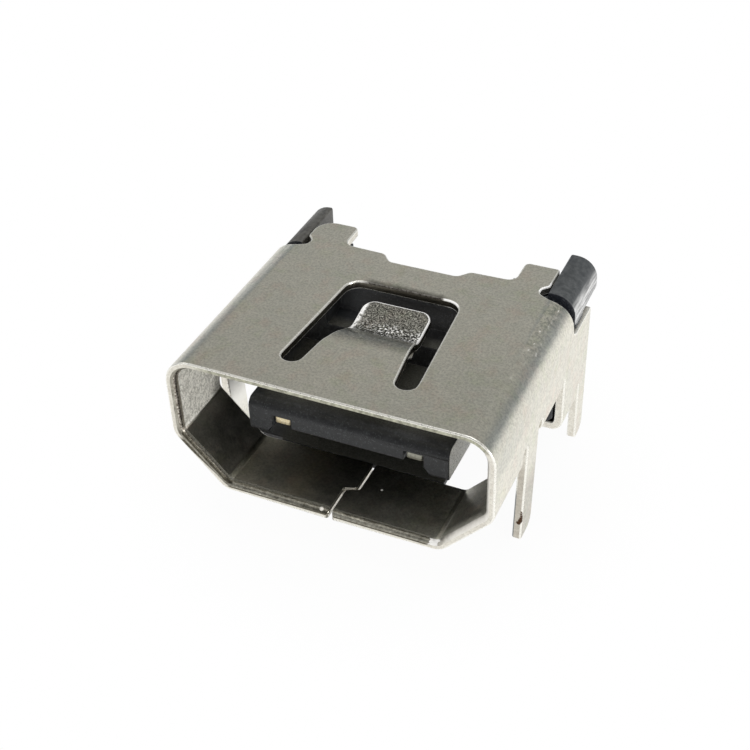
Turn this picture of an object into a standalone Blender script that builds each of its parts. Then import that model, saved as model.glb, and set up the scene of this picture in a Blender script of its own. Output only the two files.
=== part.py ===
"""Board-mounted power jack: a folded sheet-metal shell around a moulded housing with two contacts.

The jack is laid out in millimetres from the middle of its mouth at the level of the board:
x runs across, y from the mouth to the back, z up from the board. Meshes are finished in metres,
and an empty sets them down so that the legs stand on z = 0 with the whole jack centred over it.
"""
import math

import bmesh
import bpy

MM = 0.001

# Shell: overall form of the folded sheet
SHELL_WIDTH = 9.0
SHELL_HEIGHT = 4.02
SHEET = 0.25
TOP_BEND = 0.8
CHAMFER_RISE = 1.52
CHAMFER_RUN = 1.40
WRAP_BEND = 0.5
FOLD_INNER = 0.1
LIP_FACE = 0.14
LIP_DEPTH = 0.13

# Shell: lengths that follow each other along the lower edge of the side wall, mouth to back
WRAP_DEPTH = 2.15
LEG_RELIEF = 0.36
FRONT_LEG_WIDTH = 0.86
TAB_RELIEF = 0.36
TAB_WIDTH = 1.76
TAB_SLIT = 0.12
FLAP_WIDTH = 1.41
FLAP_SLIT = 0.10
REAR_LEG_WIDTH = 0.68

# Shell: heights of the cuts and folds in the side wall, and how far the folds reach in
RELIEF_TOP = 2.0
TAB_SLIT_TOP = 1.85
FLAP_SLIT_TOP = 0.60
TAB_LEVEL = 1.42
TAB_REACH = 1.1
FLAP_REACH = 1.1
LEG_DROP = 1.45
LEG_LEAN = 1.5

# Shell: stepped seam in the bottom
SEAM_GAP = 0.11
SEAM_JOG = 0.34
SEAM_JOG_START = 0.95
SEAM_JOG_RUN = 0.12
SEAM_JOG_GAP = 0.05

# Shell: back edge of the top plate and the corner notches
CENTRE_EDGE = 6.22
CENTRE_HALF = 1.00
SHOULDER_STEP = 0.33
SHOULDER_HALF = 1.28
PLATE_TAB_INNER = 2.53
PLATE_TAB_OUTER = 3.62
PLATE_TAB_SETBACK = 0.25
PLATE_CORNER_RIGHT = 0.08
PLATE_CORNER_LEFT = 0.54
NOTCH_FRONT = 6.06
NOTCH_SLANT = 0.12
NOTCH_FLOOR = 2.87
NOTCH_ROUND = 0.32
NOTCH_RELIEF_DEPTH = 0.18
NOTCH_RELIEF_LENGTH = 0.60
LEG_TIP_FRONT = 0.14
LEG_TIP_BACK = 0.36

# Shell: spring latch in the top plate
SLOT_FRONT = 1.08
SLOT_REAR = 5.03
SLOT_FRONT_HALF = 1.88
SLOT_REAR_HALF = 1.61
SLOT_CORNER = 0.44
SLOT_LEG = 0.57
LATCH_OFFSET = 0.10
LATCH_ROOT_HALF = 1.17
LATCH_ROOT_END = 2.2
LATCH_NECK_RIGHT = 1.09
LATCH_NECK_LEFT = 0.89
LATCH_NECK = 2.95
LATCH_TIP_HALF = 0.98
LATCH_TIP_START = 3.4
LATCH_GAP = 0.30
LATCH_BEND_START = 2.55
LATCH_DIP = 32.0
LATCH_RISE = 12.0
LATCH_BEND = 0.9
LATCH_SLOPE = 0.40
LATCH_CRADLE = 0.5

# Housing: block behind the mouth
CLEARANCE = 0.04
BLOCK_FRONT = 4.2
BLOCK_REAR = 7.62
BLOCK_FLOOR = 0.05
BLOCK_SHELF = 2.55
LATCH_ROOM = 0.30
SCOOP_SETBACK = 0.15
EAR_FLOOR = 3.15
EAR_RISE_RIGHT = 0.03
EAR_RISE_LEFT = -0.05
EAR_ROUND = 0.60
EAR_INSET_RIGHT = 0.04
EAR_INSET_LEFT = 0.16
EAR_GAP = 0.05
EAR_FRONT = 6.30
EAR_REAR = 8.36
POST_LENGTH = 0.62

# Housing: tongue in the mouth
TONGUE_FRONT = 1.2
TONGUE_HALF = 2.86
TONGUE_TOP = 2.29
TONGUE_THICKNESS = 1.02
TONGUE_CORE = 0.70
RAIL_WIDTH = 0.52
RAIL_SLOPE = 0.24
TONGUE_CHAMFER = 0.06
TONGUE_NOSE_TOP = 0.34
TONGUE_NOSE_FLOOR = 0.10
SILL_LEFT = 3.35
SILL_RIGHT = 2.33
SILL_TOP = 0.22
SILL_STEP = 2.5
SILL_STEP_DEPTH = 0.08

# Contacts
CONTACT_SPREAD = 1.88
CONTACT_WIDTH = 0.47
CONTACT_SHEET = 0.20
CONTACT_SETBACK = 0.06
CONTACT_RECESS = 0.07
CONTACT_CHAMFER = 0.08
TAIL_BEND = 0.35
TAIL_STANDOFF = 0.05
TAIL_SHORTFALL = 0.10
TAIL_WIDTH = 0.40

# Sizes that follow from the ones above
HALF_WIDTH = SHELL_WIDTH / 2
FOLD_BEND = SHEET + FOLD_INNER
INNER_HALF = HALF_WIDTH - SHEET - CLEARANCE
INNER_TOP = SHELL_HEIGHT - SHEET - CLEARANCE
FRONT_LEG_START = WRAP_DEPTH + LEG_RELIEF
FRONT_LEG_END = FRONT_LEG_START + FRONT_LEG_WIDTH
TAB_START = FRONT_LEG_END + TAB_RELIEF
TAB_END = TAB_START + TAB_WIDTH
FLAP_START = TAB_END + TAB_SLIT
FLAP_END = FLAP_START + FLAP_WIDTH
REAR_LEG_START = FLAP_END + FLAP_SLIT
WALL_REAR = REAR_LEG_START + REAR_LEG_WIDTH
PLATE_REAR = WALL_REAR - PLATE_TAB_SETBACK
EAR_INNER = PLATE_TAB_OUTER + EAR_GAP
POST_FRONT = NOTCH_FRONT + NOTCH_SLANT + NOTCH_ROUND + CLEARANCE
POST_REAR = POST_FRONT + POST_LENGTH
TONGUE_FLOOR = TONGUE_TOP - TONGUE_THICKNESS
CORE_FLOOR = TONGUE_TOP - TONGUE_CORE
CONTACT_TOP = CORE_FLOOR + CONTACT_RECESS + CONTACT_SHEET
ARC_STEP = 12.0
FULL_ROUND = 0.49


def clear_scene():
    """Remove whatever the file opened with."""
    for obj in list(bpy.data.objects):
        bpy.data.objects.remove(obj, do_unlink=True)


def material(name, colour, roughness, metallic):
    """A plain Principled material."""
    mat = bpy.data.materials.new(name)
    mat.use_nodes = True
    shader = mat.node_tree.nodes["Principled BSDF"]
    shader.inputs["Base Color"].default_value = (*colour, 1.0)
    shader.inputs["Roughness"].default_value = roughness
    shader.inputs["Metallic"].default_value = metallic
    return mat


def rounded(corners, step=ARC_STEP):
    """Outline through corners (a, b, radius), each rounded by an arc of that radius."""
    points = []
    for i, (a, b, radius) in enumerate(corners):
        before = corners[i - 1]
        after = corners[(i + 1) % len(corners)]
        back = (before[0] - a, before[1] - b)
        ahead = (after[0] - a, after[1] - b)
        back_length = math.hypot(*back)
        ahead_length = math.hypot(*ahead)
        back = (back[0] / back_length, back[1] / back_length)
        ahead = (ahead[0] / ahead_length, ahead[1] / ahead_length)
        opening = math.acos(max(-1.0, min(1.0, back[0] * ahead[0] + back[1] * ahead[1])))
        if radius <= 0 or opening > math.pi - 0.02:
            points.append((a, b))
            continue
        reach = min(radius / math.tan(opening / 2), 0.98 * back_length, 0.98 * ahead_length)
        radius = reach * math.tan(opening / 2)
        middle = (back[0] + ahead[0], back[1] + ahead[1])
        scale = radius / math.sin(opening / 2) / math.hypot(*middle)
        centre = (a + middle[0] * scale, b + middle[1] * scale)
        first = math.atan2(b + back[1] * reach - centre[1], a + back[0] * reach - centre[0])
        last = math.atan2(b + ahead[1] * reach - centre[1], a + ahead[0] * reach - centre[0])
        sweep = (last - first + math.pi) % (2 * math.pi) - math.pi
        count = max(2, math.ceil(abs(math.degrees(sweep)) / step))
        for k in range(count + 1):
            angle = first + sweep * k / count
            points.append((centre[0] + radius * math.cos(angle), centre[1] + radius * math.sin(angle)))
    return points


def mesh_object(name, bm, mat=None):
    """Scale a finished mesh to metres and put it in the scene."""
    bmesh.ops.recalc_face_normals(bm, faces=bm.faces[:])
    if bm.calc_volume(signed=True) < 0:
        bmesh.ops.reverse_faces(bm, faces=bm.faces[:])
    for vert in bm.verts:
        vert.co *= MM
    mesh = bpy.data.meshes.new(name)
    bm.to_mesh(mesh)
    bm.free()
    obj = bpy.data.objects.new(name, mesh)
    bpy.context.collection.objects.link(obj)
    if mat:
        mesh.materials.append(mat)
        mesh.shade_smooth()
        mesh.set_sharp_from_angle(angle=math.radians(30))
    return obj


# Sheet metal: a flat blank is cut out, given its thickness and folded along a path


def flat(length):
    """Straight stretch of a path: its length and no curvature."""
    return (length, 0.0)


def bend(radius, degrees):
    """Bend of a path by its outer radius, positive where it turns towards the sheet's inner side."""
    return (abs(radius) * math.radians(degrees), 1.0 / radius)


def follow(path, distance, depth):
    """Point at a distance along the outer side of a path, at a depth into the sheet."""
    a = b = heading = 0.0
    for i, (length, curvature) in enumerate(path):
        step = distance if i == len(path) - 1 else min(distance, length)
        turned = heading - step * curvature
        if curvature:
            a += (math.sin(heading) - math.sin(turned)) / curvature
            b += (math.cos(turned) - math.cos(heading)) / curvature
        else:
            a += step * math.cos(heading)
            b += step * math.sin(heading)
        heading = turned
        distance -= step
        if distance <= 0:
            break
    return a + depth * math.sin(heading), b - depth * math.cos(heading)


def bend_lines(path):
    """Distances along a path at which its bends are creased."""
    lines = []
    start = 0.0
    for length, curvature in path:
        if curvature:
            count = max(2, math.ceil(math.degrees(length * abs(curvature)) / ARC_STEP))
            lines += [start + length * i / count for i in range(count + 1)]
        start += length
    return lines


def length_of(path):
    """Length of a path up to its last stretch."""
    return sum(length for length, curvature in path[:-1])


def crease(bm, axis, value, low=-math.inf, high=math.inf, keep=True):
    """Cut the blank along a line; low and high bound the faces by their other coordinate."""
    faces = [f for f in bm.faces if low < f.calc_center_median()[1 - axis] < high]
    edges = {e for f in faces for e in f.edges}
    verts = {v for f in faces for v in f.verts}
    normal = (1, 0, 0) if axis == 0 else (0, 1, 0)
    origin = (value, 0, 0) if axis == 0 else (0, value, 0)
    cut = bmesh.ops.bisect_plane(
        bm, geom=[*faces, *edges, *verts], dist=1e-6, plane_co=origin, plane_no=normal)
    if keep:
        for edge in cut["geom_cut"]:
            if isinstance(edge, bmesh.types.BMEdge):
                edge.seam = True


def blank(outline, holes=()):
    """Flat blank: an outline with holes, as one layer of faces."""
    bm = bmesh.new()
    for loop in (outline, *holes):
        verts = [bm.verts.new((a, b, 0)) for a, b in loop]
        for i, vert in enumerate(verts):
            bm.edges.new((vert, verts[(i + 1) % len(verts)]))
    bmesh.ops.triangle_fill(bm, edges=bm.edges[:], use_beauty=True)
    return bm


def fold(bm, thickness, place, thinned=None):
    """Give a blank its thickness and put each point where the folds take it."""
    bmesh.ops.dissolve_limit(
        bm, angle_limit=0.01, verts=bm.verts[:], edges=bm.edges[:], delimit={"SEAM"})
    extruded = bmesh.ops.extrude_face_region(bm, geom=bm.faces[:], use_keep_orig=True)
    for vert in extruded["geom"]:
        if isinstance(vert, bmesh.types.BMVert):
            vert.co.z = thinned(vert.co.y) if thinned else thickness
    for vert in bm.verts:
        vert.co = place(*vert.co)


# Shell


def top_path():
    """Path from the middle of the top plate to where the side wall starts."""
    return [flat(HALF_WIDTH - TOP_BEND), bend(TOP_BEND, 90)]


def side(z):
    """Distance along the sheet at which the side wall is at height z."""
    return length_of([*top_path(), None]) + SHELL_HEIGHT - TOP_BEND - z


def wall_to(z):
    """Path down the side wall to height z."""
    return [*top_path(), flat(SHELL_HEIGHT - TOP_BEND - z)]


def wrap_path():
    """Path of the mouth: side wall, chamfer and bottom."""
    tilt = math.degrees(math.atan2(CHAMFER_RUN, CHAMFER_RISE))
    upper = WRAP_BEND * math.tan(math.radians(tilt) / 2)
    lower = WRAP_BEND * math.tan(math.radians(90 - tilt) / 2)
    slope = math.hypot(CHAMFER_RUN, CHAMFER_RISE) - upper - lower
    bottom = HALF_WIDTH - CHAMFER_RUN - lower
    return [
        *wall_to(CHAMFER_RISE + upper), bend(WRAP_BEND, tilt), flat(slope),
        bend(WRAP_BEND, 90 - tilt), flat(bottom)]


def seam(x):
    """Distance along the right half of the sheet at which its bottom reaches x."""
    path = wrap_path()
    return length_of(path) + path[-1][0] - x


def folded_path(level):
    """Path of a tab that is folded in with its lower face at a level."""
    return [*wall_to(level + FOLD_BEND), bend(FOLD_BEND, 90), flat(0)]


def leg_path():
    """Path of a front leg, which leans in a little below its root."""
    return [*wall_to(RELIEF_TOP - SHEET), bend(1.0, LEG_LEAN), flat(0)]


def fold_end(level, reach):
    """Distance along the sheet to the end of a folded tab that reaches in from the wall."""
    return length_of(folded_path(level)) + reach - FOLD_BEND


def zones():
    """Stretches of the side wall by depth, each with the path that it is folded along."""
    middle = (REAR_LEG_START + FLAP_END) / 2
    return [
        (WRAP_DEPTH + LEG_RELIEF / 2, wrap_path()),
        (FRONT_LEG_END + TAB_RELIEF / 2, leg_path()),
        (TAB_END + TAB_SLIT / 2, folded_path(TAB_LEVEL)),
        (middle, folded_path(0.0)),
        (math.inf, wall_to(0.0))]


def lower_edge():
    """Corners of the right half's lower edge, from the wrap's back edge to the wall's back edge."""
    relief = FULL_ROUND * LEG_RELIEF
    tab_end = fold_end(TAB_LEVEL, TAB_REACH)
    flap_end = fold_end(0.0, FLAP_REACH)
    return [
        (side(RELIEF_TOP), WRAP_DEPTH, relief),
        (side(RELIEF_TOP), FRONT_LEG_START, relief),
        (side(-LEG_DROP), FRONT_LEG_START, LEG_TIP_FRONT),
        (side(-LEG_DROP), FRONT_LEG_END, LEG_TIP_BACK),
        (side(RELIEF_TOP), FRONT_LEG_END, FULL_ROUND * TAB_RELIEF),
        (side(RELIEF_TOP), TAB_START, FULL_ROUND * TAB_RELIEF),
        (tab_end, TAB_START, 0.15),
        (tab_end, TAB_END, 0.15),
        (side(TAB_SLIT_TOP), TAB_END, FULL_ROUND * TAB_SLIT),
        (side(TAB_SLIT_TOP), FLAP_START, FULL_ROUND * TAB_SLIT),
        (flap_end, FLAP_START, 0.25),
        (flap_end, FLAP_END, 0.25),
        (side(FLAP_SLIT_TOP), FLAP_END, FULL_ROUND * FLAP_SLIT),
        (side(FLAP_SLIT_TOP), REAR_LEG_START, FULL_ROUND * FLAP_SLIT),
        (side(-LEG_DROP), REAR_LEG_START, LEG_TIP_FRONT),
        (side(-LEG_DROP), WALL_REAR, LEG_TIP_BACK)]


def back_edge(shift, corner):
    """Corners of a half's back edge from the side wall to the middle, its inner part shifted out."""
    relief = PLATE_TAB_OUTER - NOTCH_RELIEF_DEPTH
    shoulder = CENTRE_EDGE + SHOULDER_STEP
    return [
        (side(NOTCH_FLOOR), WALL_REAR, 0.08),
        (side(NOTCH_FLOOR), NOTCH_FRONT + NOTCH_SLANT, NOTCH_ROUND),
        (PLATE_TAB_OUTER + NOTCH_RELIEF_DEPTH, NOTCH_FRONT, 0.30),
        (relief, NOTCH_FRONT + NOTCH_RELIEF_LENGTH * 0.3, 0.20),
        (relief, NOTCH_FRONT + NOTCH_RELIEF_LENGTH * 0.7, 0.20),
        (PLATE_TAB_OUTER, NOTCH_FRONT + NOTCH_RELIEF_LENGTH, 0.15),
        (PLATE_TAB_OUTER, PLATE_REAR, corner),
        (PLATE_TAB_INNER + shift, PLATE_REAR, 0.16),
        (PLATE_TAB_INNER + shift, shoulder + 0.04, 0.26),
        (SHOULDER_HALF + shift, shoulder, 0.22),
        (CENTRE_HALF + shift, CENTRE_EDGE, 0.22)]


def seam_edge(half, jog_start):
    """Corners of one side of the seam: half is 1 on the right and -1 on the left."""
    front = seam(SEAM_GAP / 2)
    rear = seam(half * SEAM_JOG + SEAM_GAP / 2)
    return [
        (half * front, 0.0, 0.08),
        (half * front, jog_start, 0.10),
        (half * rear, jog_start + SEAM_JOG_RUN, 0.10),
        (half * rear, WRAP_DEPTH, 0.05)]


def shell_outline():
    """Whole outline of the blank, from the seam round the right half and back round the left."""
    right = [*lower_edge(), *back_edge(LATCH_OFFSET, PLATE_CORNER_RIGHT)]
    left = [*lower_edge(), *back_edge(-LATCH_OFFSET, PLATE_CORNER_LEFT)]
    left = [(-a, b, radius) for a, b, radius in reversed(left)]
    right_seam = seam_edge(1, SEAM_JOG_START)
    left_seam = seam_edge(-1, SEAM_JOG_START + SEAM_JOG_GAP)
    return rounded([*right_seam, *right, *left, *reversed(left_seam)])


def latch_edge(neck):
    """Corners of one edge of the latch from its tip to its root; neck is how far out it stands there."""
    return [
        (LATCH_TIP_HALF, SLOT_REAR - LATCH_GAP, 0.34),
        (LATCH_TIP_HALF, LATCH_TIP_START, 0.40),
        (neck, LATCH_NECK, 0.30),
        (LATCH_ROOT_HALF, LATCH_ROOT_END, 0.80)]


def latch_slot():
    """U-shaped slot that frees the latch on three sides."""
    inner_front = SLOT_FRONT_HALF - SLOT_LEG
    right = [
        (inner_front, SLOT_FRONT, FULL_ROUND * SLOT_LEG),
        (SLOT_FRONT_HALF, SLOT_FRONT, FULL_ROUND * SLOT_LEG),
        (SLOT_REAR_HALF, SLOT_REAR, SLOT_CORNER)]
    left = [(-a, b, radius) for a, b, radius in reversed(right)]
    latch_right = latch_edge(LATCH_NECK_RIGHT)
    latch_left = [(-a, b, radius) for a, b, radius in reversed(latch_edge(LATCH_NECK_LEFT))]
    outline = rounded([*right, *left, *latch_left, *latch_right])
    return [(a + LATCH_OFFSET, b) for a, b in outline]


def latch_path():
    """Path of the latch: down from the top plate, a short slope, and up again to the tip."""
    return [
        bend(LATCH_BEND, LATCH_DIP), flat(LATCH_SLOPE),
        bend(-LATCH_CRADLE, LATCH_DIP + LATCH_RISE), flat(0)]


def place_shell(distance, y, depth):
    """Where a point of the shell's blank lies once the sheet is folded."""
    on_latch = abs(distance - LATCH_OFFSET) < (LATCH_ROOT_HALF + SLOT_REAR_HALF) / 2
    if on_latch and LATCH_BEND_START < y < SLOT_REAR - LATCH_GAP / 2:
        run, drop = follow(latch_path(), y - LATCH_BEND_START, depth)
        return distance, LATCH_BEND_START + run, SHELL_HEIGHT + drop
    path = next(path for end, path in zones() if y < end)
    x, drop = follow(path, abs(distance), depth)
    return x if distance > 0 else -x, y, SHELL_HEIGHT + drop


def shell_thickness(y):
    """Thickness of the sheet, which is coined thinner at the mouth."""
    return LIP_FACE if y < LIP_DEPTH / 2 else SHEET


def make_shell(mat):
    """Fold the shell out of one blank."""
    bm = blank(shell_outline(), [latch_slot()])
    ends = [end for end, path in zones()]
    for end in ends[:-1]:
        crease(bm, 1, end, keep=False)
    for sign in (-1, 1):
        for line in bend_lines(wall_to(0.0)):
            crease(bm, 0, sign * line)
        start = -math.inf
        for end, path in zones():
            for line in bend_lines(path)[len(bend_lines(top_path())):]:
                crease(bm, 0, sign * line, start, end)
            start = end
    crease(bm, 1, LIP_DEPTH)
    for line in bend_lines(latch_path()):
        crease(bm, 1, LATCH_BEND_START + line, -HALF_WIDTH + TOP_BEND, HALF_WIDTH - TOP_BEND)
    fold(bm, SHEET, place_shell, shell_thickness)
    return mesh_object("shell", bm, mat)


# Contacts


def contact_path():
    """Path of a contact: back along the tongue, through the block and down to the board."""
    run = BLOCK_REAR + TAIL_STANDOFF - TONGUE_FRONT - CONTACT_SETBACK
    return [flat(run), bend(TAIL_BEND, 90), flat(CONTACT_TOP - TAIL_BEND + LEG_DROP - TAIL_SHORTFALL)]


def place_contact(distance, across, depth):
    """Where a point of a contact's blank lies once the strip is folded."""
    run, drop = follow(contact_path(), distance, depth)
    return across, TONGUE_FRONT + CONTACT_SETBACK + run, CONTACT_TOP + drop


def make_contact(name, sign, mat):
    """One contact strip with its solder tail."""
    path = contact_path()
    bent = length_of(path)
    end = bent + path[-1][0]
    half = CONTACT_WIDTH / 2
    tail = TAIL_WIDTH / 2
    shoulder = bent + CONTACT_WIDTH
    outline = rounded([
        (0, -half, CONTACT_CHAMFER), (shoulder, -half, 0), (shoulder + half, -tail, 0),
        (end - tail, -tail, 0), (end, -tail / 2, 0), (end, tail / 2, 0), (end - tail, tail, 0),
        (shoulder + half, tail, 0), (shoulder, half, 0), (0, half, CONTACT_CHAMFER)])
    bm = blank(outline)
    for line in bend_lines(path):
        crease(bm, 0, line)
    fold(bm, CONTACT_SHEET, place_contact)
    for vert in bm.verts:
        vert.co.x += sign * CONTACT_SPREAD
    return mesh_object(name, bm, mat)


# Housing


def prism(name, outline, axis, start, end):
    """Solid with an outline drawn across an axis and carried along it from start to end."""
    bm = bmesh.new()
    place = {
        "X": lambda a, b, along: (along, a, b),
        "Y": lambda a, b, along: (a, along, b),
        "Z": lambda a, b, along: (a, b, along)}[axis]
    face = bm.faces.new([bm.verts.new(place(a, b, start)) for a, b in outline])
    extruded = bmesh.ops.extrude_face_region(bm, geom=[face], use_keep_orig=True)
    for vert in extruded["geom"]:
        if isinstance(vert, bmesh.types.BMVert):
            setattr(vert.co, axis.lower(), end)
    return mesh_object(name, bm)


def combine(target, tool, operation):
    """Join a hidden tool solid to a target or cut it away."""
    tool.hide_render = True
    tool.display_type = "WIRE"
    tool.parent = target
    modifier = target.modifiers.new(tool.name, "BOOLEAN")
    modifier.operation = operation
    modifier.solver = "EXACT"
    modifier.object = tool


def block_section():
    """Section of the block, which fills the shell behind the mouth."""
    corner = TOP_BEND - SHEET - CLEARANCE
    return rounded([
        (INNER_HALF, BLOCK_FLOOR, 0.1), (INNER_HALF, INNER_TOP, corner),
        (-INNER_HALF, INNER_TOP, corner), (-INNER_HALF, BLOCK_FLOOR, 0.1)])


def tongue_section():
    """Section of the tongue: a plate with a deeper rail along each side."""
    rail = TONGUE_HALF - RAIL_WIDTH
    core = rail - RAIL_SLOPE
    return rounded([
        (TONGUE_HALF, TONGUE_TOP, TONGUE_CHAMFER), (-TONGUE_HALF, TONGUE_TOP, TONGUE_CHAMFER),
        (-TONGUE_HALF, TONGUE_FLOOR, TONGUE_CHAMFER), (-rail, TONGUE_FLOOR, TONGUE_CHAMFER),
        (-core, CORE_FLOOR, 0), (core, CORE_FLOOR, 0),
        (rail, TONGUE_FLOOR, TONGUE_CHAMFER), (TONGUE_HALF, TONGUE_FLOOR, TONGUE_CHAMFER)], 30)


def nose_section():
    """Side view of the room in front of the tongue, which rounds its nose where it is cut away."""
    front = TONGUE_FRONT - 1
    nose = rounded([
        (TONGUE_FRONT, TONGUE_FLOOR, TONGUE_NOSE_FLOOR), (TONGUE_FRONT, TONGUE_TOP, TONGUE_NOSE_TOP),
        (BLOCK_FRONT, TONGUE_TOP, 0), (BLOCK_FRONT, TONGUE_FLOOR, 0)], 15)
    arcs = [point for point in nose if point[0] < TONGUE_FRONT + 0.5]
    return [(front, TONGUE_FLOOR - 1), (arcs[0][0], TONGUE_FLOOR - 1), *arcs,
            (arcs[-1][0], TONGUE_TOP + 1), (front, TONGUE_TOP + 1)]


def ear_sides(sign):
    """Top of an ear and how far out its side stands; the left one is the smaller."""
    if sign > 0:
        return SHELL_HEIGHT + EAR_RISE_RIGHT, HALF_WIDTH - EAR_INSET_RIGHT
    return SHELL_HEIGHT + EAR_RISE_LEFT, HALF_WIDTH - EAR_INSET_LEFT


def ear_section(sign):
    """Section of an ear, whose outer side carries on the shell's rounded corner."""
    top, outer = ear_sides(sign)
    return rounded([
        (sign * EAR_INNER, EAR_FLOOR, 0.04), (sign * outer, EAR_FLOOR, 0.04),
        (sign * outer, top, EAR_ROUND), (sign * EAR_INNER, top, 0.06)])


def post_section(sign):
    """Section of the post that an ear stands on, just inside the ear's sides."""
    inner = EAR_INNER + CLEARANCE
    outer = ear_sides(sign)[1] - CLEARANCE / 2
    floor = NOTCH_FLOOR + CLEARANCE
    return [
        (sign * inner, floor), (sign * outer, floor),
        (sign * outer, EAR_FLOOR + SHEET), (sign * inner, EAR_FLOOR + SHEET)]


def pocket_section(sign, ceiling, reach):
    """Section of the room under the block for a folded tab, clear of the fold's inner radius."""
    inner = HALF_WIDTH - reach - CLEARANCE
    outer = HALF_WIDTH + 1.0
    slant = FOLD_INNER + CLEARANCE
    edge = INNER_HALF - slant
    rise = ceiling + outer - edge
    return [
        (sign * inner, -1.0), (sign * outer, -1.0), (sign * outer, rise),
        (sign * edge, ceiling), (sign * inner, ceiling)]


def channel_section(sign):
    """Section of the channel that a contact lies in, open below the tongue."""
    half = CONTACT_WIDTH / 2 + CLEARANCE
    centre = sign * CONTACT_SPREAD
    top = CONTACT_TOP + CLEARANCE
    floor = CORE_FLOOR - CLEARANCE
    return [(centre - half, floor), (centre + half, floor), (centre + half, top), (centre - half, top)]


def sill_plan():
    """Plan of the ledge that closes the gap behind the wrap, set back a little at its left end."""
    front = WRAP_DEPTH + CLEARANCE
    back = BLOCK_FRONT + SHEET
    step = front + SILL_STEP_DEPTH
    return [
        (-SILL_LEFT, back), (-SILL_LEFT, step), (-SILL_STEP, step), (-SILL_STEP, front),
        (SILL_RIGHT, front), (SILL_RIGHT, back)]


def soften(obj, width):
    """Break a solid's sharp edges by a small bevel."""
    modifier = obj.modifiers.new("soft_edges", "BEVEL")
    modifier.width = width * MM
    modifier.segments = 2
    modifier.limit_method = "ANGLE"
    modifier.angle_limit = math.radians(50)


def cut_block(housing):
    """Rooms in the block for the latch, the folded tabs and the open middle of the back."""
    slot_half = SLOT_REAR_HALF + LATCH_ROOM
    room = SHELL_HEIGHT - SHEET - LATCH_ROOM - 0.5
    latch_side = [
        (BLOCK_FRONT - 1, room), (SLOT_REAR, room), (SLOT_REAR + LATCH_ROOM, SHELL_HEIGHT),
        (BLOCK_FRONT - 1, SHELL_HEIGHT)]
    combine(housing, prism("latch_room", latch_side, "X", -slot_half, slot_half), "DIFFERENCE")
    scoop_front = CENTRE_EDGE - SCOOP_SETBACK
    scoop_side = [
        (scoop_front, SHELL_HEIGHT), (scoop_front + 0.5, BLOCK_SHELF), (BLOCK_REAR + 1, BLOCK_SHELF),
        (BLOCK_REAR + 1, SHELL_HEIGHT)]
    scoop_half = PLATE_TAB_INNER - 0.1
    combine(housing, prism("rear_scoop", scoop_side, "X", -scoop_half, scoop_half), "DIFFERENCE")
    shelf_front = POST_REAR - CLEARANCE
    shelf_side = [
        (shelf_front, SHELL_HEIGHT), (shelf_front, BLOCK_SHELF), (BLOCK_REAR + 1, BLOCK_SHELF),
        (BLOCK_REAR + 1, SHELL_HEIGHT)]
    combine(housing, prism("rear_shelf", shelf_side, "X", -HALF_WIDTH, HALF_WIDTH), "DIFFERENCE")
    for sign, hand in ((-1, "left"), (1, "right")):
        tab = pocket_section(sign, TAB_LEVEL + SHEET + CLEARANCE, TAB_REACH)
        flap = pocket_section(sign, SHEET + CLEARANCE, FLAP_REACH)
        tab_end = FLAP_START - CLEARANCE
        combine(housing, prism(f"tab_room_{hand}", tab, "Y", BLOCK_FRONT - 1, tab_end), "DIFFERENCE")
        combine(housing, prism(f"flap_room_{hand}", flap, "Y", tab_end - 0.1, BLOCK_REAR + 1), "DIFFERENCE")


def make_housing(mat):
    """Moulded housing: block, tongue, ears and the channels for the contacts."""
    housing = prism("housing", block_section(), "Y", BLOCK_FRONT, BLOCK_REAR)
    cut_block(housing)
    tongue = prism("tongue", tongue_section(), "Y", TONGUE_FRONT, BLOCK_FRONT + SHEET)
    soften(tongue, TONGUE_CHAMFER / 2)
    combine(housing, tongue, "UNION")
    nose = prism("tongue_nose", nose_section(), "X", -TONGUE_HALF - 1, TONGUE_HALF + 1)
    combine(housing, nose, "DIFFERENCE")
    combine(housing, prism("sill", sill_plan(), "Z", BLOCK_FLOOR, SILL_TOP), "UNION")
    for sign, hand in ((-1, "left"), (1, "right")):
        post = prism(f"post_{hand}", post_section(sign), "Y", POST_FRONT, POST_REAR)
        ear = prism(f"ear_{hand}", ear_section(sign), "Y", EAR_FRONT, EAR_REAR)
        combine(housing, post, "UNION")
        combine(housing, ear, "UNION")
        channel = prism(f"channel_{hand}", channel_section(sign), "Y", TONGUE_FRONT - 1, BLOCK_REAR + 1)
        combine(housing, channel, "DIFFERENCE")
    housing.data.materials.append(mat)
    housing.data.shade_smooth()
    housing.data.set_sharp_from_angle(angle=math.radians(30))
    return housing


def main():
    """Build the jack and set it down on its legs."""
    clear_scene()
    nickel = material("nickel_sheet", (0.52, 0.51, 0.48), 0.32, 1.0)
    black = material("black_moulding", (0.025, 0.026, 0.03), 0.45, 0.0)
    gold = material("gold_plate", (0.80, 0.58, 0.25), 0.28, 1.0)
    pieces = [
        make_shell(nickel),
        make_housing(black),
        make_contact("contact_left", -1, gold),
        make_contact("contact_right", 1, gold)]
    frame = bpy.data.objects.new("jack_frame", None)
    bpy.context.collection.objects.link(frame)
    tail_rear = BLOCK_REAR + TAIL_STANDOFF + TAIL_BEND
    depth = max(EAR_REAR, WALL_REAR, tail_rear)
    frame.location = (0.0, -depth / 2 * MM, LEG_DROP * MM)
    for piece in pieces:
        piece.parent = frame


main()
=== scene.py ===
"""A small board-mounted power jack: plated sheet shell, black moulded housing, gold-plated contacts."""
import math

import bmesh
import bpy
from mathutils import Matrix, Vector
from mathutils.bvhtree import BVHTree


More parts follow.
